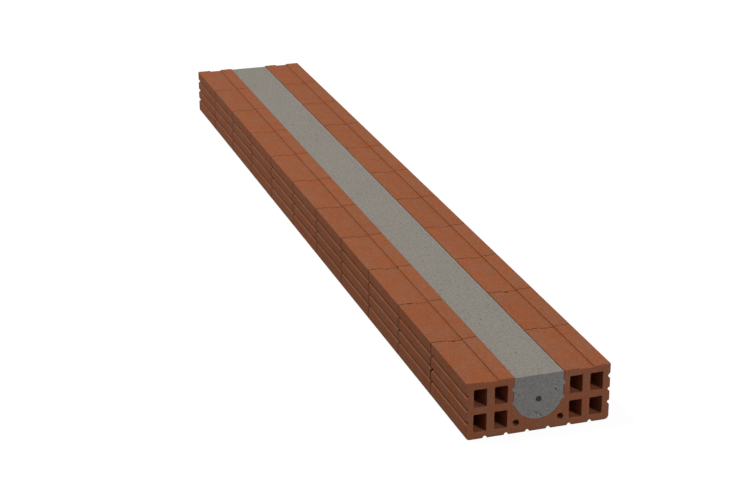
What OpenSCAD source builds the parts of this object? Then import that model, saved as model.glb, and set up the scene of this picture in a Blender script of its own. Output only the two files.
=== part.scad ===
// Ceramic lintel: a row of hollow fired-clay blocks, threaded like beads on a
// channel of concrete that is cast round one steel bar.
// X runs across the width, Y along the length and Z up.
// The origin is at the middle of the underside. Sizes are in millimetres.

/* [Lintel] */
// Length from end to end
lintel_l = 2200; // [1000:200:3000]
// Width over both side faces
lintel_w = 300; // [296:1:320]
// Height of the clay blocks
lintel_h = 120; // [118:1:130]
// Nominal length of one clay block with its joint
block_pitch = 200; // [100:50:300]
// Open dry joint between one block and the next
joint_gap = 2; // [0.5:0.1:4]
// Radius of the two long bottom edges
bottom_edge_r = 9; // [4:0.5:12]

/* [Channel] */
// Width of the channel between its upright walls
channel_w = 102; // [92:1:103]
// Height at which the half-round floor of the channel meets the upright walls
channel_spring_z = 75.8; // [73:0.1:80]
// Radius of the key grooves along the channel walls
key_r = 4.7; // [3:0.1:4.8]
// Height of the upper key groove
key_upper_z = 94; // [90:0.1:100]
// Height of the lower key groove
key_lower_z = 64.3; // [60:0.1:68]

/* [Cells] */
// Width of one hollow cell
cell_w = 27; // [22:0.5:28]
// Height of one hollow cell
cell_h = 37.5; // [30:0.5:38]
// Radius of the corners of a cell
cell_r = 2.5; // [1:0.1:5]
// Clay outside the outer column of cells
outer_wall = 15.5; // [13:0.1:16]
// Clay between the two columns of cells
cell_web = 16; // [14:0.1:17]
// Clay under the lower row of cells
floor_wall = 15; // [13:0.1:16]
// Clay between the lower and the upper row of cells
cell_shelf = 15; // [14:0.1:17]
// Diameter of the round holes beside the floor of the channel
round_hole_d = 13.5; // [8:0.1:15]
// Distance of a round hole from the middle of the width
round_hole_x = 46.4; // [44:0.1:48]
// Height of the round holes
round_hole_z = 22.2; // [20:0.1:25]

/* [Grooves] */
// Radius of the half-round grooves outside
groove_r = 4.5; // [2:0.1:5]
// Number of grooves in each side face
side_groove_count = 3; // [1:1:3]
// Height of the lowest side groove
side_groove_z = 37; // [30:0.5:40]
// Distance from one side groove to the next
side_groove_pitch = 28; // [20:0.5:30]
// Number of grooves in the underside
bottom_groove_count = 6; // [2:2:6]
// Distance from one bottom groove to the next
bottom_groove_pitch = 44; // [40:0.5:46]
// Depth of the shallow recess along each top flange
recess_depth = 2.5; // [0.5:0.1:4]
// Width of that recess
recess_w = 31.7; // [20:0.1:36]
// Distance from the side face to that recess
recess_inset = 35; // [30:0.5:40]

/* [Concrete and steel] */
// Depth of the concrete's top below the top of the clay
concrete_drop = 1.9; // [0:0.1:5]
// Diameter of the steel bar
bar_d = 12; // [6:1:20]
// Height of the middle of the bar
bar_z = 66.6; // [50:0.1:80]

/* [Hidden] */
$fn = 96;
// Amount by which a cutting shape runs past the face that it cuts
past = 5;
clay_colour = [0.62, 0.36, 0.24];
concrete_colour = [0.55, 0.53, 0.49];
steel_colour = [0.20, 0.21, 0.21];

block_count = round(lintel_l / block_pitch);
block_l = (lintel_l - (block_count - 1) * joint_gap) / block_count;
channel_r = channel_w / 2;
side_x = lintel_w / 2;
// Middle of each column and of each row of cells
cell_outer_x = side_x - outer_wall - cell_w / 2;
cell_xs = [cell_outer_x - cell_w - cell_web, cell_outer_x];
cell_lower_z = floor_wall + cell_h / 2;
cell_zs = [cell_lower_z, cell_lower_z + cell_h + cell_shelf];

// The blocks are numbered from the front end, which is at low Y.
function block_name(i) = str("clay_block_", i < 10 ? "0" : "", i);
function block_middle_y(i) = -lintel_l / 2 + block_l / 2 + (i - 1) * (block_l + joint_gap);
// Half the width of the channel at height z
function channel_half_w(z) =
    z >= channel_spring_z ? channel_r : sqrt(pow(channel_r, 2) - pow(channel_spring_z - z, 2));

// Draws a shape on the right-hand side, and its mirror image on the left.
module both_sides() {
    children();
    mirror([1, 0]) children();
}

// Stands a section up, with its second axis as Z, and gives it a length along Y.
module along_y(length) {
    rotate([90, 0, 0]) linear_extrude(length, center = true) children();
}

module rounded_rect(w, h, r) {
    square([w - 2 * r, h], center = true);
    square([w, h - 2 * r], center = true);
    for (x = [-1, 1], z = [-1, 1])
        translate([x * (w / 2 - r), z * (h / 2 - r)]) circle(r);
}

// What is left over of a square corner once it is rounded to radius r. The
// middle of the rounding is at the origin, and the corner is at [r, -r].
module corner_waste(r) {
    difference() {
        translate([0, -r - past]) square(r + past);
        circle(r);
    }
}

// Outline of a block, square at the top and with its bottom edges rounded
module block_outline() {
    difference() {
        translate([-side_x, 0]) square([lintel_w, lintel_h]);
        both_sides() translate([side_x - bottom_edge_r, bottom_edge_r]) corner_waste(bottom_edge_r);
    }
}

// The channel up to height top_z, with its half-round floor and its key grooves
module channel_outline(top_z) {
    translate([0, channel_spring_z]) circle(channel_r);
    translate([-channel_r, channel_spring_z]) square([channel_w, top_z - channel_spring_z]);
    both_sides() for (z = [key_lower_z, key_upper_z])
        translate([channel_half_w(z), z]) circle(key_r);
}

module cells() {
    both_sides() for (x = cell_xs, z = cell_zs)
        translate([x, z]) rounded_rect(cell_w, cell_h, cell_r);
}

module round_holes() {
    both_sides() translate([round_hole_x, round_hole_z]) circle(d = round_hole_d);
}

module grooves() {
    both_sides() for (i = [0 : side_groove_count - 1])
        translate([side_x, side_groove_z + i * side_groove_pitch]) circle(groove_r);
    for (i = [0 : bottom_groove_count - 1])
        translate([(i - (bottom_groove_count - 1) / 2) * bottom_groove_pitch, 0]) circle(groove_r);
}

module top_recesses() {
    both_sides() translate([side_x - recess_inset - recess_w, lintel_h - recess_depth])
        square([recess_w, recess_depth + past]);
}

module clay_block(i) {
    color(clay_colour) translate([0, block_middle_y(i), 0]) along_y(block_l) difference() {
        block_outline();
        channel_outline(lintel_h + past);
        cells();
        round_holes();
        grooves();
        top_recesses();
    }
}

module concrete_core() {
    color(concrete_colour) along_y(lintel_l) difference() {
        intersection() {
            channel_outline(lintel_h);
            translate([-side_x, 0]) square([lintel_w, lintel_h - concrete_drop]);
        }
        translate([0, bar_z]) circle(d = bar_d);
    }
}

module steel_bar() {
    color(steel_colour) along_y(lintel_l) translate([0, bar_z]) circle(d = bar_d);
}

for (i = [1 : block_count]) clay_block(i);
concrete_core();
steel_bar();
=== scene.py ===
import math
import random

import bmesh
import bpy
from mathutils import Matrix, Vector, noise
from mathutils.bvhtree import BVHTree
from mathutils.kdtree import KDTree


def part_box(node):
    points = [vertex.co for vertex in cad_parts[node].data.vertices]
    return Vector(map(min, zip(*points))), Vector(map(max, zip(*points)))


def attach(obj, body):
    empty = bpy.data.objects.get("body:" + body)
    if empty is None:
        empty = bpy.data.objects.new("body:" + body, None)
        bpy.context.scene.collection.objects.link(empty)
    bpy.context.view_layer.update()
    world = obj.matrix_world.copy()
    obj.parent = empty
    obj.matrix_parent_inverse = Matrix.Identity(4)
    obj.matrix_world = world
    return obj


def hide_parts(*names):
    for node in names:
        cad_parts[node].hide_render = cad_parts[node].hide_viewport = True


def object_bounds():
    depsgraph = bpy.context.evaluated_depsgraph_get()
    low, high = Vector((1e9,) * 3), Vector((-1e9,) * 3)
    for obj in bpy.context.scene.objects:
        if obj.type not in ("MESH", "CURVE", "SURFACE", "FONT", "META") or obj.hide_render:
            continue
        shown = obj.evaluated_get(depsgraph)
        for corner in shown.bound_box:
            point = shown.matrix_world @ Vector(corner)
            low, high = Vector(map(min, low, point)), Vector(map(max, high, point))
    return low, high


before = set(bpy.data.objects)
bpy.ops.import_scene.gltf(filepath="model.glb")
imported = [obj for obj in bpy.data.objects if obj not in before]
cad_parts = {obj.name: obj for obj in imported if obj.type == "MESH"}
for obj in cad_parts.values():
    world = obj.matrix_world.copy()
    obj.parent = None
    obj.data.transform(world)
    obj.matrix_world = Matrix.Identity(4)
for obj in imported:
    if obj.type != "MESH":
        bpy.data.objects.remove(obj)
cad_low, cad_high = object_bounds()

bl_info = {
    "name": "Ceramic Lintel Finish",
    "version": (1, 0, 0),
    "blender": (4, 5, 0),
    "location": "View3D > Sidebar > Lintel",
    "description": "Gives a ceramic lintel its fired clay, cast concrete and steel, and lights it",
    "category": "Object",
}

MM = 0.001
X, Y, Z = 0, 1, 2
BODY = "root"
BLOCK_NODES = sorted(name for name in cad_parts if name.startswith("clay_block_"))
CORE_NODE = "concrete_core"
BAR_NODE = "steel_bar"

# Mesh care: places that count as one, faces that touch, and cuts that are joined
MERGE_DISTANCE = 0.001 * MM
TOUCH_DISTANCE = 0.45 * MM
SLIVER_WIDTH = 0.05 * MM
# Angles between faces: still flat, an edge that wears, and an edge that is shown sharp
FLAT_ANGLE = math.radians(0.5)
EDGE_ANGLE = math.radians(40)
SHADING_ANGLE = math.radians(50)
# How squarely a face has to look along an axis to count as facing that way
FACING = 0.99


# ---------------------------------------------------------------------------
# Settings
# ---------------------------------------------------------------------------


class ClaySettings(bpy.types.PropertyGroup):
    colour: bpy.props.FloatVectorProperty(
        name="Fired colour",
        description="Orange-brown of the fired clay",
        subtype="COLOR",
        size=3,
        min=0,
        max=1,
        default=(0.337, 0.101, 0.0405),
    )
    cloud_colour: bpy.props.FloatVectorProperty(
        name="Cloud colour",
        description="Greyer pink of the soft clouds in the clay",
        subtype="COLOR",
        size=3,
        min=0,
        max=1,
        default=(0.316, 0.113, 0.0545),
    )
    chipped_colour: bpy.props.FloatVectorProperty(
        name="Chipped colour",
        description="Paler clay where an edge is worn or chipped",
        subtype="COLOR",
        size=3,
        min=0,
        max=1,
        default=(0.42, 0.155, 0.078),
    )
    edge_wear: bpy.props.FloatProperty(
        name="Edge wear",
        description="How far the edges are rubbed back",
        subtype="DISTANCE",
        unit="LENGTH",
        min=0,
        max=2 * MM,
        default=0.12 * MM,
    )
    ripple: bpy.props.FloatProperty(
        name="Ripple",
        description="Depth of the slow waves that drying leaves in the faces",
        subtype="DISTANCE",
        unit="LENGTH",
        min=0,
        max=1 * MM,
        default=0.06 * MM,
    )
    # Painted shade: darkens the clay inside the joints, beside them and on the channel's walls
    joint_shade: bpy.props.FloatProperty(
        name="Joint dust",
        description="How much dark dust covers the clay inside the joints",
        subtype="FACTOR",
        min=0,
        max=1,
        default=0.85,
    )
    saw_dust: bpy.props.FloatProperty(
        name="Saw dust",
        description="How much pale dust lies on the sawn open ends",
        subtype="FACTOR",
        min=0,
        max=1,
        default=0.045,
    )
    groove_dust: bpy.props.FloatProperty(
        name="Groove dust",
        description="How much pale dust lies in the grooves of the side faces",
        subtype="FACTOR",
        min=0,
        max=1,
        default=0.12,
    )
    chips: bpy.props.IntProperty(
        name="Chips",
        description="Small chips in the cut ends of each block",
        min=0,
        max=60,
        default=14,
    )


class ConcreteSettings(bpy.types.PropertyGroup):
    colour: bpy.props.FloatVectorProperty(
        name="Concrete colour",
        description="Warm grey of the cement and sand",
        subtype="COLOR",
        size=3,
        min=0,
        max=1,
        default=(0.293, 0.2735, 0.2555),
    )
    margin_colour: bpy.props.FloatVectorProperty(
        name="Margin colour",
        description="Cooler grey of the fine paste that lies against the clay",
        subtype="COLOR",
        size=3,
        min=0,
        max=1,
        default=(0.268, 0.322, 0.332),
    )
    # Paler paste along the right-hand wall, and painted light that lifts the shade beside that wall
    right_margin_paste_and_light: bpy.props.FloatVectorProperty(
        name="Right margin colour",
        description="Paler grey of the fine paste along the right-hand wall",
        subtype="COLOR",
        size=3,
        min=0,
        max=1,
        default=(0.335, 0.36, 0.36),
    )
    relief: bpy.props.FloatProperty(
        name="Relief",
        description="Depth of the uneven surface that levelling leaves on the top",
        subtype="DISTANCE",
        unit="LENGTH",
        min=0,
        max=2 * MM,
        default=0.6 * MM,
    )
    end_relief: bpy.props.FloatProperty(
        name="End relief",
        description="Depth of the rough surface of the two sawn ends",
        subtype="DISTANCE",
        unit="LENGTH",
        min=0,
        max=2 * MM,
        default=0.7 * MM,
    )
    edge_break: bpy.props.FloatProperty(
        name="Edge break",
        description="How far the upper edges of the two ends are broken away",
        subtype="DISTANCE",
        unit="LENGTH",
        min=0,
        max=3 * MM,
        default=1.2 * MM,
    )
    pores: bpy.props.IntProperty(
        name="Pores",
        description="Small air holes scattered over the top",
        min=0,
        max=400,
        default=330,
    )


class SteelSettings(bpy.types.PropertyGroup):
    colour: bpy.props.FloatVectorProperty(
        name="Steel colour",
        description="Dark grey of the sawn bar end",
        subtype="COLOR",
        size=3,
        min=0,
        max=1,
        default=(0.024, 0.024, 0.022),
    )
    rim: bpy.props.FloatProperty(
        name="Rim",
        description="Width of the rounded rim of the bar end",
        subtype="DISTANCE",
        unit="LENGTH",
        min=0.1 * MM,
        max=2 * MM,
        default=0.6 * MM,
    )


class StageSettings(bpy.types.PropertyGroup):
    floor_size: bpy.props.FloatProperty(
        name="Floor size",
        description="Length of each side of the floor",
        subtype="DISTANCE",
        unit="LENGTH",
        default=40,
    )
    camera_place: bpy.props.FloatVectorProperty(
        name="Camera place",
        description="Where the camera stands",
        subtype="TRANSLATION",
        unit="LENGTH",
        size=3,
        default=(-1.3309, -4.1260, 1.6900),
    )
    camera_target: bpy.props.FloatVectorProperty(
        name="Camera target",
        description="The point that the camera looks at",
        subtype="TRANSLATION",
        unit="LENGTH",
        size=3,
        default=(-0.0523, -0.2503, 0.06),
    )
    lens: bpy.props.FloatProperty(
        name="Lens",
        description="Focal length of the camera, in millimetres",
        unit="CAMERA",
        default=91.01,
    )
    sky_strength: bpy.props.FloatProperty(
        name="Sky strength",
        description="Strength of the even light from all round",
        default=0.15,
    )
    main_power: bpy.props.FloatProperty(
        name="Main power",
        description="Power of the warm lamp high up on the left, in watts",
        unit="POWER",
        default=281,
    )
    key_power: bpy.props.FloatProperty(
        name="Key power",
        description="Power of the small lamp in front and to the right, in watts",
        unit="POWER",
        default=264,
    )
    fill_power: bpy.props.FloatProperty(
        name="Fill power",
        description="Power of the soft blue lamp behind and to the left, in watts",
        unit="POWER",
        default=79,
    )
    side_power: bpy.props.FloatProperty(
        name="Side power",
        description="Power of the weak lamp behind and to the right, in watts",
        unit="POWER",
        default=50,
    )


# ---------------------------------------------------------------------------
# Mesh helpers
# ---------------------------------------------------------------------------


def solid_from(node_name):
    """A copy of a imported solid, with its loose triangles joined into whole faces."""
    bm = bmesh.new()
    bm.from_mesh(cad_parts[node_name].data)
    bmesh.ops.remove_doubles(bm, verts=bm.verts, dist=MERGE_DISTANCE)
    bmesh.ops.dissolve_limit(
        bm, angle_limit=FLAT_ANGLE, verts=bm.verts, edges=bm.edges, delimit={"NORMAL"}
    )
    return bm


def even_steps(low, high, step):
    """Places between two limits, evenly spaced and about a step apart."""
    count = max(2, round((high - low) / step))
    return [low + (high - low) * i / count for i in range(1, count)]


def slice_faces(bm, faces, axis, places):
    """Cut faces by planes across an axis, so that they can carry relief."""
    normal = Vector((0, 0, 0))
    normal[axis] = 1
    behind = set()
    ahead = set(faces)
    for place in sorted(places):
        edges = {edge for face in ahead for edge in face.edges}
        verts = {vert for face in ahead for vert in face.verts}
        cut = bmesh.ops.bisect_plane(
            bm,
            geom=[*ahead, *edges, *verts],
            dist=MERGE_DISTANCE,
            plane_co=normal * place,
            plane_no=normal,
        )
        pieces = {item for item in cut["geom"] if isinstance(item, bmesh.types.BMFace)}
        ahead = {face for face in pieces if face.calc_center_median()[axis] > place}
        behind |= pieces - ahead
    return ahead | behind


def point_finder(points):
    """A tree that finds the points near a place."""
    finder = KDTree(len(points))
    for index, point in enumerate(points):
        finder.insert(point, index)
    finder.balance()
    return finder


def is_near(value, places):
    """Whether a value is the same as one of the places."""
    return any(abs(value - place) < MERGE_DISTANCE for place in places)


def is_sharp(edge, angle):
    """Whether an edge is open or turns by more than an angle."""
    return len(edge.link_faces) != 2 or edge.calc_face_angle(0) > angle


def finish_piece(bm, name, material, node_name):
    """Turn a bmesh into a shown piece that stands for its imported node."""
    bm.normal_update()
    for face in bm.faces:
        face.smooth = True
    for edge in bm.edges:
        edge.smooth = not is_sharp(edge, SHADING_ANGLE)
    mesh = bpy.data.meshes.new(name)
    bm.to_mesh(mesh)
    bm.free()
    mesh.materials.append(material)
    piece = bpy.data.objects.new(name, mesh)
    bpy.context.scene.collection.objects.link(piece)
    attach(piece, BODY)
    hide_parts(node_name)
    return piece


# ---------------------------------------------------------------------------
# Material helpers
# ---------------------------------------------------------------------------

# Most values of soft noise lie between these.
NOISE_LOW = 0.3
NOISE_HIGH = 0.7


def shader(tree, kind, inputs=(), **settings):
    """Add a shader node. An input is a value, or the socket that feeds it."""
    made = tree.nodes.new("ShaderNode" + kind)
    for name, value in settings.items():
        setattr(made, name, value)
    for name, value in dict(inputs).items():
        if isinstance(value, bpy.types.NodeSocket):
            tree.links.new(value, made.inputs[name])
        else:
            made.inputs[name].default_value = value
    return made


def start_material(name, inputs):
    """A new material with one Principled shader, and its Object coordinates."""
    material = bpy.data.materials.new(name)
    material.use_nodes = True
    tree = material.node_tree
    tree.nodes.clear()
    surface = shader(tree, "BsdfPrincipled", inputs)
    output = shader(tree, "OutputMaterial")
    tree.links.new(surface.outputs["BSDF"], output.inputs["Surface"])
    place = shader(tree, "TexCoord").outputs["Object"]
    return material, tree, surface, place


def clouds(tree, place, scale, detail=2.0, stretch=(1, 1, 1), roughness=0.5):
    """Soft noise from 0 to 1 that repeats about scale times in a metre."""
    mapped = place
    if stretch != (1, 1, 1):
        mapped = shader(tree, "Mapping", {"Vector": place, "Scale": stretch}).outputs["Vector"]
    made = shader(
        tree,
        "TexNoise",
        {"Vector": mapped, "Scale": scale, "Detail": detail, "Roughness": roughness},
    )
    return made.outputs["Fac"]


def window(tree, value, low, high, out_low=0.0, out_high=1.0, smooth=True):
    """Map a range of a value to another range, and hold it at both ends."""
    made = shader(
        tree,
        "MapRange",
        {
            "Value": value,
            "From Min": low,
            "From Max": high,
            "To Min": out_low,
            "To Max": out_high,
        },
        interpolation_type="SMOOTHSTEP" if smooth else "LINEAR",
    )
    return made.outputs["Result"]


def maths(tree, operation, first, second=0.0):
    """The result of one operation on two inputs, each a value or a socket."""
    made = shader(tree, "Math", operation=operation)
    for socket, value in zip(made.inputs, (first, second)):
        if isinstance(value, bpy.types.NodeSocket):
            tree.links.new(value, socket)
        else:
            socket.default_value = value
    return made.outputs["Value"]


def blend_colours(tree, factor, first, second, mode="MIX"):
    """Mix two colours, each a socket or three numbers."""
    made = shader(tree, "Mix", data_type="RGBA", blend_type=mode)
    for name, value in (("Factor", factor), ("A", first), ("B", second)):
        kind = "Factor_Float" if name == "Factor" else name + "_Color"
        socket = next(s for s in made.inputs if s.identifier == kind)
        if isinstance(value, bpy.types.NodeSocket):
            tree.links.new(value, socket)
        else:
            socket.default_value = value if name == "Factor" else (*value, 1)
    return next(s for s in made.outputs if s.identifier == "Result_Color")


def grey(tree, value):
    """A colour whose three parts are one value."""
    return shader(
        tree, "CombineColor", {"Red": value, "Green": value, "Blue": value}
    ).outputs["Color"]


def specks(tree, place, scale, share, size):
    """Dots scattered in space, in a share of the cells: 1 in a dot, fading to 0 at its rim."""
    cells = shader(tree, "TexVoronoi", {"Vector": place, "Scale": scale})
    parts = shader(tree, "SeparateColor", {"Color": cells.outputs["Color"]})
    chosen = maths(tree, "LESS_THAN", parts.outputs["Red"], share)
    near = window(tree, cells.outputs["Distance"], size * 0.6, size, 1.0, 0.0)
    return maths(tree, "MULTIPLY", near, chosen)


def grains(tree, place, scale):
    """A different number from 0 to 1 for each grain, with about scale grains in a metre."""
    cells = shader(tree, "TexVoronoi", {"Vector": place, "Scale": scale})
    parts = shader(tree, "SeparateColor", {"Color": cells.outputs["Color"]})
    return parts.outputs["Green"]


def painted(tree, layer):
    """A mark from 0 to 1 that a piece's mesh carries."""
    return shader(tree, "Attribute", attribute_name=layer).outputs["Fac"]


def vary(tree, tone, pattern, swing, low=NOISE_LOW, high=NOISE_HIGH, smooth=True):
    """Darken and lighten a tone by up to a swing, as a pattern goes from low to high."""
    change = window(tree, pattern, low, high, 1 - swing, 1 + swing, smooth)
    return maths(tree, "MULTIPLY", tone, change)


def tint(tree, colour, where, share, other):
    """Blend a colour towards another one, by a share, where a pattern is 1."""
    return blend_colours(tree, maths(tree, "MULTIPLY", where, share), colour, other)


def looked_at(tree):
    """1 where the camera sees a thing, straight or by reflection, and 0 where it only lights."""
    rays = shader(tree, "LightPath")
    seen = maths(tree, "MAXIMUM", rays.outputs["Is Camera Ray"], rays.outputs["Is Glossy Ray"])
    return maths(tree, "MAXIMUM", seen, rays.outputs["Is Transmission Ray"])


def add_bump(tree, surface, height, depth, strength=1.0):
    """Let a height from 0 to 1 shade the surface as relief of a depth."""
    bump = shader(
        tree, "Bump", {"Height": height, "Distance": depth, "Strength": strength}
    )
    tree.links.new(bump.outputs["Normal"], surface.inputs["Normal"])


# ---------------------------------------------------------------------------
# Materials
# ---------------------------------------------------------------------------

# Colours of the marks on the clay
DARK_SPECK = (0.13, 0.045, 0.025)
PALE_SPECK = (0.50, 0.27, 0.17)
SAWN_DUST = (0.45, 0.30, 0.25)
PALE_DUST = (0.40, 0.23, 0.17)
# Painted shade for the joints and the channel's walls
JOINT_SHADE = (0.045, 0.018, 0.010)
# Colours of the marks on the concrete and the steel
PALE_STONE = (0.40, 0.37, 0.33)
PORE_SHADE = (0.10, 0.092, 0.08)
HOLLOW_SHADE = (0.085, 0.08, 0.073)
BROKEN_EDGE = (0.42, 0.39, 0.35)
BROWN_SCALE = (0.05, 0.032, 0.022)
# Half of the width over which the left margin's paste turns into the right one's, which also paints
# light over the shade beside the right-hand wall
PASTE_BLEND = 20 * MM
# Colours of the stage, and the distances between which the floor's glow rises
WHITE = (1, 1, 1, 1)
FLOOR_GREY = (0.10, 0.10, 0.10, 1)
GLOW_RISE = (1.5, 6.0)


def fired_clay(settings):
    """Matt unglazed clay: clouds, grain, draw marks, specks, pale dust in the grooves, and painted
    shade in the joints and on the channel's walls.
    """
    material, tree, surface, place = start_material(
        "fired_clay", {"Specular IOR Level": 0.18}
    )
    # Each block has its own firing, so its number shifts the clouds.
    length = cad_high.y - cad_low.y
    along = shader(tree, "SeparateXYZ", {"Vector": place}).outputs["Y"]
    blocks_along = maths(
        tree, "MULTIPLY", maths(tree, "SUBTRACT", along, cad_low.y), len(BLOCK_NODES) / length
    )
    number = maths(tree, "FLOOR", blocks_along)
    firing = shader(tree, "TexWhiteNoise", {"W": number}, noise_dimensions="1D")
    shift = shader(
        tree,
        "VectorMath",
        {0: firing.outputs["Color"], "Scale": 3.0},
        operation="SCALE",
    ).outputs["Vector"]
    own_place = shader(
        tree, "VectorMath", {0: place, 1: shift}, operation="ADD"
    ).outputs["Vector"]

    big = clouds(tree, own_place, 22, detail=3, roughness=0.6)
    cloudy = window(tree, big, 0.36, 0.64)
    colour = blend_colours(tree, cloudy, settings.colour, settings.cloud_colour)

    small = clouds(tree, own_place, 90, detail=3)
    coarse = clouds(tree, place, 190, detail=2)
    grain = clouds(tree, place, 420, detail=3, roughness=0.7)
    fine = clouds(tree, place, 1300, detail=4, roughness=0.8)
    draw_marks = clouds(tree, place, 500, detail=2, stretch=(1, 0.035, 1))
    tone = vary(tree, 1.0, firing.outputs["Value"], 0.025, 0, 1, smooth=False)
    tone = vary(tree, tone, small, 0.025)
    tone = vary(tree, tone, coarse, 0.06)
    tone = vary(tree, tone, grain, 0.24, 0.34, 0.66)
    tone = vary(tree, tone, fine, 0.15)
    tone = vary(tree, tone, draw_marks, 0.025)
    colour = blend_colours(tree, 1.0, colour, grey(tree, tone), "MULTIPLY")

    dark_specks = specks(tree, place, 260, 0.12, 0.28)
    pale_specks = specks(tree, own_place, 330, 0.10, 0.25)
    colour = tint(tree, colour, dark_specks, 0.35, DARK_SPECK)
    colour = tint(tree, colour, pale_specks, 0.30, PALE_SPECK)
    colour = tint(tree, colour, painted(tree, "sawn"), settings.saw_dust, SAWN_DUST)
    colour = tint(tree, colour, painted(tree, "groove"), settings.groove_dust, PALE_DUST)
    colour = tint(tree, colour, painted(tree, "wear"), 0.5, settings.chipped_colour)
    # Painted shade in the joints, beside them and on the channel's walls above the concrete
    colour = tint(tree, colour, painted(tree, "joint"), settings.joint_shade, JOINT_SHADE)
    tree.links.new(colour, surface.inputs["Base Color"])
    roughness = window(tree, grain, NOISE_LOW, NOISE_HIGH, 0.82, 0.95)
    tree.links.new(roughness, surface.inputs["Roughness"])

    height = maths(tree, "ADD", grain, maths(tree, "MULTIPLY", draw_marks, 0.5))
    height = maths(tree, "ADD", height, maths(tree, "MULTIPLY", fine, 0.4))
    height = maths(tree, "SUBTRACT", height, dark_specks)
    add_bump(tree, surface, height, 0.5 * MM, 0.9)
    return material


def cast_concrete(settings):
    """Levelled and sawn concrete: sand grain, pale stone, air pores and a fine margin."""
    material, tree, surface, place = start_material(
        "cast_concrete", {"Specular IOR Level": 0.22}
    )
    across = shader(tree, "SeparateXYZ", {"Vector": place}).outputs["X"]
    on_right = window(tree, across, -PASTE_BLEND, PASTE_BLEND)
    # Next to the clay: cool paste on the left; on the right, paler paste with painted light over
    # the shade beside the wall
    paste_and_light = blend_colours(tree, on_right, settings.margin_colour, settings.right_margin_paste_and_light)
    colour = tint(tree, settings.colour, painted(tree, "margin"), 0.95, paste_and_light)

    slow = clouds(tree, place, 14, detail=2)
    sand = clouds(tree, place, 330, detail=4, roughness=0.75)
    grain = grains(tree, place, 560)
    gravel = clouds(tree, place, 170, detail=3, roughness=0.8)
    fine = clouds(tree, place, 1100, detail=4, roughness=0.8)
    tone = vary(tree, 1.0, slow, 0.015)
    tone = vary(tree, tone, sand, 0.12, 0.34, 0.66)
    tone = vary(tree, tone, grain, 0.13, 0, 1, smooth=False)
    tone = vary(tree, tone, gravel, 0.105, 0.35, 0.65)
    tone = vary(tree, tone, fine, 0.1)
    colour = blend_colours(tree, 1.0, colour, grey(tree, tone), "MULTIPLY")

    stone = specks(tree, place, 210, 0.10, 0.30)
    pores = specks(tree, place, 150, 0.07, 0.20)
    colour = tint(tree, colour, stone, 0.35, PALE_STONE)
    colour = tint(tree, colour, pores, 0.55, PORE_SHADE)
    # Painted shade in the air holes and along the cracks
    colour = tint(tree, colour, painted(tree, "wear"), 0.8, HOLLOW_SHADE)
    colour = tint(tree, colour, painted(tree, "rim"), 0.6, BROKEN_EDGE)
    tree.links.new(colour, surface.inputs["Base Color"])
    roughness = window(tree, sand, NOISE_LOW, NOISE_HIGH, 0.80, 0.95)
    tree.links.new(roughness, surface.inputs["Roughness"])

    height = maths(tree, "SUBTRACT", sand, pores)
    height = maths(tree, "ADD", height, maths(tree, "MULTIPLY", fine, 0.35))
    add_bump(tree, surface, height, 0.9 * MM, 1.0)
    return material


def dark_steel(settings):
    """Sawn end of a reinforcing bar, dulled by its own scale."""
    material, tree, surface, place = start_material(
        "dark_steel", {"Metallic": 0.35, "Specular IOR Level": 0.3}
    )
    saw_marks = clouds(tree, place, 900, detail=2, stretch=(0.06, 1, 1))
    scale_spots = clouds(tree, place, 350, detail=3)
    tone = vary(tree, 1.0, saw_marks, 0.15)
    colour = blend_colours(tree, 1.0, settings.colour, grey(tree, tone), "MULTIPLY")
    scaled = window(tree, scale_spots, 0.55, 0.7, 0, 0.5)
    colour = blend_colours(tree, scaled, colour, BROWN_SCALE)
    tree.links.new(colour, surface.inputs["Base Color"])
    roughness = window(tree, scale_spots, NOISE_LOW, NOISE_HIGH, 0.45, 0.7)
    tree.links.new(roughness, surface.inputs["Roughness"])
    add_bump(tree, surface, saw_marks, 0.08 * MM, 0.6)
    return material


def pale_floor():
    """Pale floor that shows white to the camera and keeps the shadow."""
    material, tree, surface, place = start_material(
        "pale_floor",
        {"Base Color": FLOOR_GREY, "Roughness": 0.95, "Specular IOR Level": 0.0},
    )
    # Away from the lamps the glow makes up for their light.
    reach = shader(tree, "VectorMath", {0: place}, operation="LENGTH").outputs["Value"]
    strength = window(tree, reach, *GLOW_RISE, 0.95, 1.0)
    glow = shader(
        tree,
        "Emission",
        {"Color": WHITE, "Strength": maths(tree, "MULTIPLY", looked_at(tree), strength)},
    )
    both = shader(tree, "AddShader")
    tree.links.new(surface.outputs["BSDF"], both.inputs[0])
    tree.links.new(glow.outputs["Emission"], both.inputs[1])
    output = next(n for n in tree.nodes if n.bl_idname == "ShaderNodeOutputMaterial")
    tree.links.new(both.outputs["Shader"], output.inputs["Surface"])
    return material


# ---------------------------------------------------------------------------
# Clay blocks
# ---------------------------------------------------------------------------

# Spacing of the cuts that let the clay's faces carry wear
CLAY_STEP = 6 * MM
CLAY_STEP_ALONG = 14 * MM
# Distances from a block's end at which its faces are cut for worn edges
END_CUTS = [d * MM for d in (0.2, 1.1, 3.2, 7.5)]
CHIP_RADIUS = (2.5 * MM, 6.5 * MM)
CHIP_DEPTH = (0.5 * MM, 1.6 * MM)
# Shares of the wear: on the edges in a joint, and on the edges along the faces
JOINT_EDGE_WEAR = 0.5
LONG_EDGE_WEAR = 0.2
# Depth of wear at which the paler inner clay shows fully
BARE_DEPTH = 0.9 * MM
# Depths that count as inside a side groove, the height of the rounded foot below the
# grooves, and the strip at the top and the cut ends that aren't part of one
GROOVE_REACH = (0.1 * MM, 5 * MM)
FOOT_HEIGHT = 12 * MM
TOP_EDGE_HEIGHT = 1 * MM
CUT_END_FACING = 0.9
# Shares of the painted shade in a joint: on its edges, on the edges and beside them on a side face,
# and in a groove that runs out into it
JOINT_EDGE_SHADE = 0.35
SIDE_EDGE_SHADE = 1.0
BESIDE_JOINT_SHADE = 0.5
GROOVE_MOUTH_SHADE = 0.8
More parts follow.
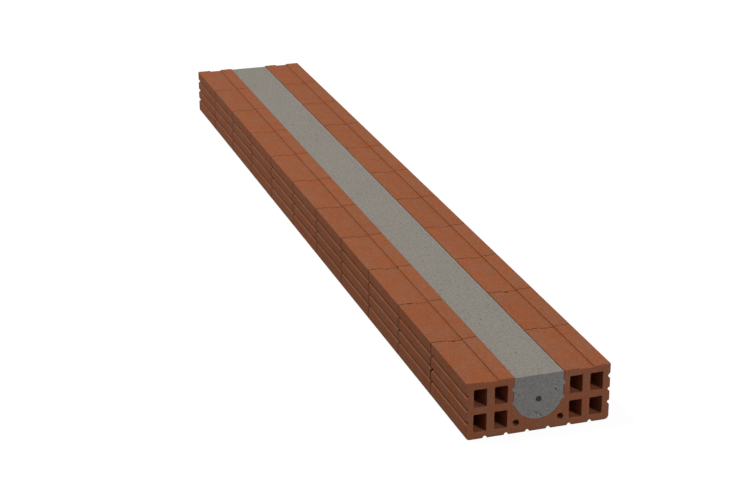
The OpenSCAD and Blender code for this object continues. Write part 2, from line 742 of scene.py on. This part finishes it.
# Share of the painted shade on the channel's walls just above the concrete
WALL_SHADE = 0.45
CHANNEL_HALF_WIDTH = 51 * MM
WAVES_PER_METRE = 18
NICKS_PER_METRE = 220
NICK_SWING = 0.9
# Steps in the noise from one block to the next, so that no two wear alike
NOISE_STEPS = (3.7, 1.9, 5.3)


def packed_tree(node_name):
    """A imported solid's faces, to be searched for the nearest one."""
    bm = solid_from(node_name)
    tree = BVHTree.FromBMesh(bm)
    bm.free()
    return tree


def block_blank():
    """One block, cut finely enough to carry wear, with its edges, bed and grooves marked."""
    low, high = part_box(BLOCK_NODES[0])
    bm = solid_from(BLOCK_NODES[0])
    near_ends = [low.y + d for d in END_CUTS] + [high.y - d for d in END_CUTS]
    between = even_steps(low.y + END_CUTS[-1], high.y - END_CUTS[-1], CLAY_STEP_ALONG)
    slice_faces(bm, bm.faces, Y, near_ends + between)
    for axis in (X, Z):
        near_sides = [low[axis] + END_CUTS[0], high[axis] - END_CUTS[0]]
        between = even_steps(low[axis], high[axis], CLAY_STEP)
        slice_faces(bm, bm.faces, axis, near_sides + between)
    bmesh.ops.remove_doubles(bm, verts=bm.verts, dist=SLIVER_WIDTH)

    on_edge = bm.verts.layers.float.new("on_edge")
    bedded = bm.verts.layers.float.new("bedded")
    for edge in bm.edges:
        if is_sharp(edge, EDGE_ANGLE):
            for vert in edge.verts:
                vert[on_edge] = 1
    core = packed_tree(CORE_NODE)
    for vert in bm.verts:
        if core.find_nearest(vert.co, TOUCH_DISTANCE)[0] is not None:
            vert[bedded] = 1
    mark_grooves(bm, low, high)
    return bm


def mark_grooves(bm, low, high):
    """Mark the vertices that lie in the grooves of the two side faces."""
    grooved = bm.verts.layers.float.new("groove")
    bm.normal_update()
    for vert in bm.verts:
        inward = min(vert.co.x - low.x, high.x - vert.co.x)
        in_reach = GROOVE_REACH[0] < inward < GROOVE_REACH[1]
        at_height = FOOT_HEIGHT < vert.co.z < high.z - TOP_EDGE_HEIGHT
        if in_reach and at_height and abs(vert.normal.y) < CUT_END_FACING:
            vert[grooved] = 1


def chip_edges(bm, ends, random_source, count, depths):
    """Knock small chips out of the edges of a block's two cut ends."""
    on_edge = bm.verts.layers.float["on_edge"]
    bedded = bm.verts.layers.float["bedded"]
    free_edge = [
        vert
        for vert in bm.verts
        if vert[on_edge] and not vert[bedded] and is_near(vert.co.y, ends)
    ]
    finder = point_finder([vert.co for vert in bm.verts])
    for _ in range(count):
        centre = random_source.choice(free_edge).co
        radius = random_source.uniform(*CHIP_RADIUS)
        depth = random_source.uniform(*CHIP_DEPTH)
        for _, index, distance in finder.find_range(centre, radius):
            depths[index] += depth * (1 - (distance / radius) ** 2)


def rubbed_share(y, outer_ends, inner_ends):
    """How much of the wear an edge takes: most at the open ends, least along the faces."""
    if is_near(y, outer_ends):
        return 1.0
    return JOINT_EDGE_WEAR if is_near(y, inner_ends) else LONG_EDGE_WEAR


def joint_share(vert, from_joint, on_edge, grooved):
    """How much painted shade a vertex takes, by its distance from the joint, and on the channel's
    walls.
    """
    if vert[grooved] and from_joint < END_CUTS[1] + MERGE_DISTANCE:
        return GROOVE_MOUTH_SHADE
    on_side = is_near(abs(vert.co.x), [cad_high.x])
    if from_joint < MERGE_DISTANCE:
        if vert[on_edge]:
            return SIDE_EDGE_SHADE if on_side else JOINT_EDGE_SHADE
        return 1.0
    if on_side and from_joint < END_CUTS[0] + MERGE_DISTANCE:
        return BESIDE_JOINT_SHADE
    # Painted shade on the clay walls of the channel above the concrete
    on_wall = is_near(abs(vert.co.x), [CHANNEL_HALF_WIDTH])
    return WALL_SHADE if on_wall and vert.co.z < cad_high.z - MERGE_DISTANCE else 0.0


def wear_block(bm, number, settings):
    """Rub the edges back, add chips, and let the faces wave a little."""
    on_edge = bm.verts.layers.float["on_edge"]
    bedded = bm.verts.layers.float["bedded"]
    grooved = bm.verts.layers.float["groove"]
    worn = bm.verts.layers.float.new("wear")
    joint = bm.verts.layers.float.new("joint")
    sawn = bm.verts.layers.float.new("sawn")
    first = min(vert.co.y for vert in bm.verts)
    last = max(vert.co.y for vert in bm.verts)
    inner_ends = [y for y in (first, last) if cad_low.y + MM < y < cad_high.y - MM]
    outer_ends = [y for y in (first, last) if y not in inner_ends]
    bm.verts.index_update()
    bm.normal_update()
    shift = Vector([number * step for step in NOISE_STEPS])
    depths = [0.0] * len(bm.verts)
    chip_edges(bm, (first, last), random.Random(number), settings.chips, depths)
    for vert in bm.verts:
        from_joint = min(abs(vert.co.y - y) for y in inner_ends)
        # Mark the painted shade of the joints and of the channel's walls
        vert[joint] = joint_share(vert, from_joint, on_edge, grooved)
        if is_near(vert.co.y, outer_ends):
            vert[sawn] = 1
        if vert[bedded]:
            continue
        wave = 0.5 + 0.5 * noise.noise(vert.co * WAVES_PER_METRE + shift)
        rubbed = depths[vert.index]
        if vert[on_edge]:
            nick = 1 + NICK_SWING * noise.noise(vert.co * NICKS_PER_METRE + shift)
            rubbed += settings.edge_wear * nick * rubbed_share(vert.co.y, outer_ends, inner_ends)
        vert[worn] = min(1.0, rubbed / BARE_DEPTH)
        vert.co -= vert.normal * (rubbed + settings.ripple * wave)


class LINTEL_OT_clay_blocks(bpy.types.Operator):
    """Dress the hollow clay blocks in worn, cloudy fired clay"""

    bl_idname = "lintel.clay_blocks"
    bl_label = "Clay Blocks"

    def execute(self, context):
        settings = context.scene.lintel_clay
        material = fired_clay(settings)
        blank = block_blank()
        first_low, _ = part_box(BLOCK_NODES[0])
        for number, node_name in enumerate(BLOCK_NODES, start=1):
            low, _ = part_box(node_name)
            block = blank.copy()
            bmesh.ops.translate(block, verts=block.verts, vec=(0, low.y - first_low.y, 0))
            wear_block(block, number, settings)
            finish_piece(block, f"fired_block_{number:02d}", material, node_name)
        blank.free()
        return {"FINISHED"}


# ---------------------------------------------------------------------------
# Concrete core
# ---------------------------------------------------------------------------

# Spacing of the cuts that let the top and the two ends carry relief
TOP_STEP_ACROSS = 3.4 * MM
TOP_STEP_ALONG = 4 * MM
END_STEP = 1.6 * MM
# Distances from an upper end edge at which the concrete is cut for its broken edge
RIM_CUTS = [d * MM for d in (0.7, 1.8)]
# Width of the fine paste along the clay, on the ends and on the top
MARGIN_WIDTH = 2.6 * MM
TOP_MARGIN_WIDTH = 6 * MM
END_RECESS = 0.25 * MM
# Waves and bumps of the rough faces, and nicks of the broken edges, in a metre
WAVES_IN_FACE = 25
BUMPS_IN_FACE = 260
DEEP_NICKS_IN_EDGE = 110
FINE_NICKS_IN_EDGE = 380
# Scattered air holes: plain strip round them, least, most and usual radius in millimetres,
# and depth as a share of the radius
PORE_INSET = 10 * MM
PORE_RADIUS = (0.8, 2.1, 1.0)
PORE_DEPTH = 0.6
PORE_SEED = 275
# Border round a hole, and reach round a crack's points, that are cut more finely
FINE_BORDER = 1.2 * MM
FINE_CRACK_REACH = 3 * MM
# How quickly the painted shade in a hollow deepens from its rim to its middle
HOLLOW_DARKENING = 1.6
# Air holes in the front end: place across, height, radius and depth in millimetres
FRONT_HOLES = (
    (-42, 79.5, 1.6, 2.0),
    (-42, 77.5, 1.3, 1.5),
    (35.0, 83.2, 1.6, 2.2),
    (36.0, 80.9, 1.7, 2.6),
    (43.2, 77.2, 1.3, 1.5),
    (36.8, 90.7, 1.3, 1.2),
    (40.5, 98, 1.2, 1.2),
    (-47, 104, 1.1, 1.2),
)
# Cracks in the foot of the front end, the first one over a flake: points across and in
# height, in millimetres, as are the sizes after them
CRACKS = (
    ((-11, 42), (-6, 38.8), (-2, 36.3), (1.7, 35), (3.9, 32.8), (6.1, 29.4), (8.3, 28), (12, 27)),
    ((-5, 38), (-3.4, 34), (-2.2, 31)),
    ((-22, 34.2), (-19, 31.8), (-15.6, 30.2)),
)
CRACK_REACH = 0.75
CRACK_DEPTH = 1.5
FLAKE_HEIGHT = 6.0
FLAKE_DEPTH = 1.6
FLAKE_TAPER = 3.0
# Larger air holes in the top near the front: place across, distance from the front end,
# radius and depth in millimetres
TOP_HOLES = (
    (-46, 36, 2.4, 1.2),
    (-37, 39, 1.6, 0.9),
    (-47, 139, 2.4, 1.3),
    (-12, 279, 1.6, 0.9),
    (10, 27, 1.5, 0.8),
    (38, 224, 1.5, 0.8),
    (-18, 103, 1.3, 0.8),
)


def faces_facing(bm, axis, sign):
    """The flat faces that look along an axis, or against it where the sign is -1."""
    return [face for face in bm.faces if face.normal[axis] * sign > FACING]


def verts_facing(bm, axis, sign):
    """The vertices of those faces."""
    return list({vert for face in faces_facing(bm, axis, sign) for vert in face.verts})


def core_blank():
    """The core, with its top and both ends cut finely enough to carry relief."""
    low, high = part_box(CORE_NODE)
    bm = solid_from(CORE_NODE)
    across = even_steps(low.x, high.x, TOP_STEP_ACROSS)
    top = slice_faces(bm, faces_facing(bm, Z, 1), X, across)
    rims = [low.y + d for d in RIM_CUTS] + [high.y - d for d in RIM_CUTS]
    slice_faces(bm, top, Y, even_steps(low.y, high.y, TOP_STEP_ALONG) + rims)
    across = even_steps(low.x, high.x, END_STEP)
    up = even_steps(low.z, high.z - RIM_CUTS[-1], END_STEP) + [high.z - d for d in RIM_CUTS]
    for sign in (-1, 1):
        end = slice_faces(bm, faces_facing(bm, Y, sign), X, across)
        slice_faces(bm, end, Z, up)
    return bm


def refine_near(bm, holes, axis, sign):
    """Cut the faces round the holes more finely."""
    finder = point_finder([centre for centre, _, _ in holes])
    edges = set()
    for face in faces_facing(bm, axis, sign):
        _, index, distance = finder.find(face.calc_center_median())
        if distance < holes[index][1] + FINE_BORDER:
            edges.update(face.edges)
    bmesh.ops.subdivide_edges(bm, edges=list(edges), cuts=2, use_grid_fill=True)


def carve_holes(bm, verts, holes, axis, sign):
    """Press round hollows, each a centre, radius and depth, into one flat side, with painted shade
    in them.
    """
    hollow = bm.verts.layers.float["wear"]
    finder = point_finder([vert.co for vert in verts])
    for centre, radius, depth in holes:
        for _, index, distance in finder.find_range(centre, radius):
            bowl = 1 - (distance / radius) ** 2
            verts[index].co[axis] -= sign * depth * bowl
            shade = min(1.0, HOLLOW_DARKENING * bowl)
            verts[index][hollow] = max(verts[index][hollow], shade)


def crack_nearness(place):
    """How near a place on the front end, in mm, is to a crack: 1 on it, 0 away from it."""
    nearness = 0
    for crack in CRACKS:
        for start, end in zip(crack, crack[1:]):
            start, end = Vector(start), Vector(end)
            share = (place - start).dot(end - start) / (end - start).length_squared
            foot = start.lerp(end, min(1, max(0, share)))
            nearness = max(nearness, 1 - (place - foot).length / CRACK_REACH)
    return nearness


def flake_depth(place):
    """How far the flake under the first crack has come away, in mm."""
    crack = CRACKS[0]
    from_ends = min(place.x - crack[0][0], crack[-1][0] - place.x)
    for start, end in zip(crack, crack[1:]):
        if start[0] <= place.x < end[0]:
            share = (place.x - start[0]) / (end[0] - start[0])
            below = start[1] + (end[1] - start[1]) * share - place.y
            if 0 <= below < FLAKE_HEIGHT:
                taper = min(1, from_ends / FLAKE_TAPER)
                return taper * FLAKE_DEPTH * (1 - below / FLAKE_HEIGHT)
    return 0


def top_holes(settings):
    """The air holes of the top: the larger ones near the front, and the scattered ones."""
    low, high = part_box(CORE_NODE)
    chance = random.Random(PORE_SEED)
    holes = [
        (Vector((x * MM, low.y + along * MM, high.z)), radius * MM, depth * MM)
        for x, along, radius, depth in TOP_HOLES
    ]
    half = (high.x - low.x) / 2 - PORE_INSET
    for _ in range(settings.pores):
        along = chance.uniform(low.y + PORE_INSET, high.y - PORE_INSET)
        centre = Vector((chance.uniform(-half, half), along, high.z))
        radius = chance.triangular(*PORE_RADIUS) * MM
        holes.append((centre, radius, radius * PORE_DEPTH))
    return holes


def end_holes(y, side):
    """The air holes of an end, which the back end (side -1) has turned round."""
    return [
        (Vector((side * x * MM, y, z * MM)), radius * MM, depth * MM)
        for x, z, radius, depth in FRONT_HOLES
    ]


def mark_margin(bm):
    """Mark how near each vertex lies to the clay, for the fine paste there and, along the
    right-hand wall, painted light.
    """
    # The top and the bar's own hole are no walls of clay.
    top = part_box(CORE_NODE)[1].z
    bar_low, bar_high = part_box(BAR_NODE)
    bar = (bar_low + bar_high) / 2
    walls = []
    for face in bm.faces:
        middle = face.calc_center_median()
        from_bar = math.hypot(middle.x - bar.x, middle.z - bar.z)
        on_side = abs(face.normal.y) < 0.5 and middle.z < top - MERGE_DISTANCE
        if on_side and from_bar > bar_high.x - bar_low.x:
            walls.append([vert.index for vert in face.verts])
    finder = BVHTree.FromPolygons([vert.co.copy() for vert in bm.verts], walls)
    margin = bm.verts.layers.float["margin"]
    for vert in bm.verts:
        distance = finder.find_nearest(vert.co)[3]
        width = TOP_MARGIN_WIDTH if vert.co.z > top - MERGE_DISTANCE else MARGIN_WIDTH
        vert[margin] = max(0.0, 1 - distance / width)


def relief(place):
    """Unevenness from 0 to 1, of slow waves and quick bumps."""
    waves = noise.noise(place * WAVES_IN_FACE)
    return 0.5 + 0.15 * waves + 0.35 * noise.noise(place * BUMPS_IN_FACE)


def nicks(place):
    """How far a brittle edge is broken back, from 0 to 1: little, with a few deep nicks."""
    deep = max(0, noise.noise(place * DEEP_NICKS_IN_EDGE) - 0.1)
    return 0.25 + 1.6 * deep + 0.25 * noise.noise(place * FINE_NICKS_IN_EDGE)


def roughen_core(bm, top, front, back, settings):
    """Uneven top from levelling, rough sawn ends and nicks along the end edges."""
    hollow = bm.verts.layers.float["wear"]
    rim = bm.verts.layers.float["rim"]
    top_verts = set(top)
    for vert in top:
        vert.co.z -= settings.relief * relief(vert.co)
    for verts, inward in ((front, 1), (back, -1)):
        for vert in verts:
            sunk = END_RECESS + settings.end_relief * relief(vert.co)
            if inward > 0:
                place = Vector((vert.co.x, vert.co.z)) / MM
                cracked = crack_nearness(place)
                # Painted shade along the cracks
                vert[hollow] = max(vert[hollow], cracked)
                sunk += (max(0, cracked) * CRACK_DEPTH + flake_depth(place)) * MM
            if vert in top_verts:
                broken = settings.edge_break * nicks(vert.co)
                vert[rim] = 1
                vert.co.z -= broken
                sunk += broken
            vert.co.y += inward * sunk


def carve_core(bm, settings):
    """Press the air holes and cracks into the top and the ends, and roughen them."""
    low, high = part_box(CORE_NODE)
    sides = (
        (top_holes(settings), Z, 1),
        (end_holes(low.y, 1), Y, -1),
        (end_holes(high.y, -1), Y, 1),
    )
    cracked = [
        (Vector((x * MM, low.y, z * MM)), FINE_CRACK_REACH, 0) for crack in CRACKS for x, z in crack
    ]
    for holes, axis, sign in sides:
        also = cracked if (axis, sign) == (Y, -1) else []
        refine_near(bm, holes + also, axis, sign)
    for layer in ("wear", "margin", "rim"):
        bm.verts.layers.float.new(layer)
    bm.verts.index_update()
    mark_margin(bm)
    faced = [verts_facing(bm, axis, sign) for _, axis, sign in sides]
    for verts, (holes, axis, sign) in zip(faced, sides):
        carve_holes(bm, verts, holes, axis, sign)
    roughen_core(bm, *faced, settings)


class LINTEL_OT_concrete_core(bpy.types.Operator):
    """Dress the concrete in the channel with sand grain, air holes and rough sawn ends"""

    bl_idname = "lintel.concrete_core"
    bl_label = "Concrete Core"

    def execute(self, context):
        settings = context.scene.lintel_concrete
        bm = core_blank()
        carve_core(bm, settings)
        finish_piece(bm, "cast_core", cast_concrete(settings), CORE_NODE)
        return {"FINISHED"}


# ---------------------------------------------------------------------------
# Steel bar
# ---------------------------------------------------------------------------

BAR_SIDES = 48
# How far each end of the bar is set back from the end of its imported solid
BAR_RECESS = 1.2 * MM


class LINTEL_OT_steel_bar(bpy.types.Operator):
    """Turn the reinforcing bar, with a rounded rim at each sawn end"""

    bl_idname = "lintel.steel_bar"
    bl_label = "Steel Bar"

    def execute(self, context):
        settings = context.scene.lintel_steel
        low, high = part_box(BAR_NODE)
        middle = (low + high) / 2
        radius = (high.x - low.x) / 2
        bm = bmesh.new()
        disc = bmesh.ops.create_circle(bm, cap_ends=True, segments=BAR_SIDES, radius=radius)
        bmesh.ops.rotate(
            bm,
            verts=disc["verts"],
            matrix=Matrix.Rotation(math.radians(90), 3, "X"),
            cent=(0, 0, 0),
        )
        bmesh.ops.translate(
            bm, verts=disc["verts"], vec=(middle.x, low.y + BAR_RECESS, middle.z)
        )
        drawn = bmesh.ops.extrude_face_region(bm, geom=bm.faces[:])
        far_end = [item for item in drawn["geom"] if isinstance(item, bmesh.types.BMVert)]
        length = high.y - low.y - 2 * BAR_RECESS
        bmesh.ops.translate(bm, verts=far_end, vec=(0, length, 0))
        bmesh.ops.recalc_face_normals(bm, faces=bm.faces)
        rims = [edge for edge in bm.edges if is_sharp(edge, EDGE_ANGLE)]
        bmesh.ops.bevel(
            bm,
            geom=rims,
            offset=settings.rim,
            segments=3,
            profile=0.5,
            affect="EDGES",
            material=-1,
        )
        finish_piece(bm, "reinforcing_bar", dark_steel(settings), BAR_NODE)
        return {"FINISHED"}


# ---------------------------------------------------------------------------
# Stage
# ---------------------------------------------------------------------------

# How far the floor lies under the lintel
FLOOR_GAP = 0.5 * MM
# Each lamp's place, the point that it faces, the length of its sides and its colour
LAMPS = {
    "main": ((-2.6, 1.15, 6.5), (0, 0, 0), 1.1, (1.0, 0.94, 0.80)),
    "key": ((3.0, -7.7, 3.45), (0, -1.1, 0), 0.4, (0.945, 0.99, 1.03)),
    "fill": ((-5.8, 5.2, 2.4), (0, 0.3, 0), 2.5, (0.59, 0.81, 1.0)),
    "side": ((6.2, 3.6, 1.6), (0, 0.3, 0), 2.5, (1.0, 0.95, 0.90)),
}


def make_floor(settings):
    bm = bmesh.new()
    bmesh.ops.create_grid(bm, x_segments=1, y_segments=1, size=settings.floor_size / 2)
    bmesh.ops.translate(bm, verts=bm.verts, vec=(0, 0, cad_low.z - FLOOR_GAP))
    mesh = bpy.data.meshes.new("floor")
    bm.to_mesh(mesh)
    bm.free()
    mesh.materials.append(pale_floor())
    floor = bpy.data.objects.new("floor", mesh)
    bpy.context.scene.collection.objects.link(floor)


def make_lamp(name, place, target, size, power, colour):
    lamp = bpy.data.lights.new(name, "AREA")
    lamp.shape = "SQUARE"
    lamp.size = size
    lamp.energy = power
    lamp.color = colour
    holder = bpy.data.objects.new(name, lamp)
    holder.location = place
    holder.rotation_euler = (Vector(target) - Vector(place)).to_track_quat("-Z", "Y").to_euler()
    bpy.context.scene.collection.objects.link(holder)


def make_sky(settings):
    """Even light from all round, seen by the camera as plain white."""
    world = bpy.data.worlds.new("sky")
    world.use_nodes = True
    tree = world.node_tree
    tree.nodes.clear()
    soft = shader(tree, "Background", {"Color": WHITE, "Strength": settings.sky_strength})
    white = shader(tree, "Background", {"Color": WHITE, "Strength": 1.0})
    chosen = shader(tree, "MixShader", {"Fac": looked_at(tree)})
    tree.links.new(soft.outputs["Background"], chosen.inputs[1])
    tree.links.new(white.outputs["Background"], chosen.inputs[2])
    output = shader(tree, "OutputWorld")
    tree.links.new(chosen.outputs["Shader"], output.inputs["Surface"])
    bpy.context.scene.world = world


def make_camera(settings):
    data = bpy.data.cameras.new("camera")
    data.lens = settings.lens
    data.sensor_width = 36
    data.clip_end = 100
    data.dof.use_dof = False
    camera = bpy.data.objects.new("camera", data)
    place = Vector(settings.camera_place)
    sight = Vector(settings.camera_target) - place
    camera.location = place
    camera.rotation_euler = sight.to_track_quat("-Z", "Y").to_euler()
    bpy.context.scene.collection.objects.link(camera)
    bpy.context.scene.camera = camera


class LINTEL_OT_stage(bpy.types.Operator):
    """Set up the pale floor, the even sky, the lamps and the camera"""

    bl_idname = "lintel.stage"
    bl_label = "Stage"

    def execute(self, context):
        settings = context.scene.lintel_stage
        make_floor(settings)
        make_sky(settings)
        for name, (place, target, size, colour) in LAMPS.items():
            power = getattr(settings, name + "_power")
            make_lamp(name, place, target, size, power, colour)
        make_camera(settings)
        context.scene.view_settings.view_transform = "Standard"
        return {"FINISHED"}


# ---------------------------------------------------------------------------
# Add-on
# ---------------------------------------------------------------------------


class LINTEL_PT_finish(bpy.types.Panel):
    """Sizes and colours of the lintel's finish"""

    bl_idname = "LINTEL_PT_finish"
    bl_label = "Lintel Finish"
    bl_space_type = "VIEW_3D"
    bl_region_type = "UI"
    bl_category = "Lintel"

    def draw(self, context):
        scene = context.scene
        for operator, settings in (
            (LINTEL_OT_clay_blocks, scene.lintel_clay),
            (LINTEL_OT_concrete_core, scene.lintel_concrete),
            (LINTEL_OT_steel_bar, scene.lintel_steel),
            (LINTEL_OT_stage, scene.lintel_stage),
        ):
            box = self.layout.box()
            for name in settings.bl_rna.properties.keys():
                if name not in ("rna_type", "name"):
                    box.prop(settings, name)
            box.operator(operator.bl_idname)


SETTINGS = {
    "lintel_clay": ClaySettings,
    "lintel_concrete": ConcreteSettings,
    "lintel_steel": SteelSettings,
    "lintel_stage": StageSettings,
}
CLASSES = (
    *SETTINGS.values(),
    LINTEL_OT_clay_blocks,
    LINTEL_OT_concrete_core,
    LINTEL_OT_steel_bar,
    LINTEL_OT_stage,
    LINTEL_PT_finish,
)


def register():
    for cls in CLASSES:
        bpy.utils.register_class(cls)
    for name, group in SETTINGS.items():
        setattr(bpy.types.Scene, name, bpy.props.PointerProperty(type=group))


def unregister():
    for name in SETTINGS:
        delattr(bpy.types.Scene, name)
    for cls in reversed(CLASSES):
        bpy.utils.unregister_class(cls)


def main():
    register()
    bpy.ops.lintel.stage()
    bpy.ops.lintel.clay_blocks()
    bpy.ops.lintel.concrete_core()
    bpy.ops.lintel.steel_bar()


if __name__ == "__main__":
    main()
